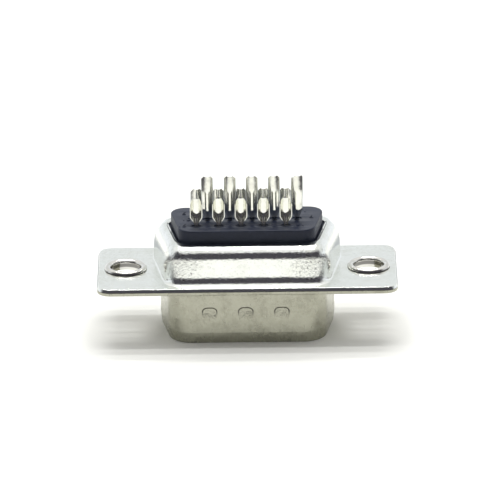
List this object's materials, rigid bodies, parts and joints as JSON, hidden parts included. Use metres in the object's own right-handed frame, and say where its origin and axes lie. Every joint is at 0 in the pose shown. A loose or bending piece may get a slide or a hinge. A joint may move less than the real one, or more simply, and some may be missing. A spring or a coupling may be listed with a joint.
{
  "type": "d-sub connector",
  "caption": "Solder-cup D-sub plug connector: D-shaped plated metal shell with a two-hole flange, black insulators and rows of stamped pins with solder cups.",
  "frame": {"origin": "middle of the plug's mouth, on the plane the part stands on", "axes": "+Z from the mouth to the solder cups, +X along the flange through both eyelets, +Y to the wide side of the D"},
  "size_m": [0.0308, 0.0126, 0.0167],
  "materials": {
    "plug_shell": "satin nickel plating over drawn steel",
    "rear_shell": "bright tin plating over drawn steel, finely scuffed",
    "insulator": "black glass-filled moulding, satin",
    "eyelet": "bright nickel plating",
    "contact": "stamped brass, bright tin plated"
  },
  "bodies": {
    "root": {"plug_shell": "plug_shell", "rear_shell": "rear_shell", "front_insulator": "insulator", "rear_insulator": "insulator", "eyelet_left": "eyelet", "eyelet_right": "eyelet", "contact_01": "contact", "contact_02": "contact", "contact_03": "contact", "contact_04": "contact", "contact_05": "contact", "contact_06": "contact", "contact_07": "contact", "contact_08": "contact", "contact_09": "contact", "contact_10": "contact", "contact_11": "contact", "contact_12": "contact", "contact_13": "contact", "contact_14": "contact", "contact_15": "contact"}
  },
  "joints": []
}
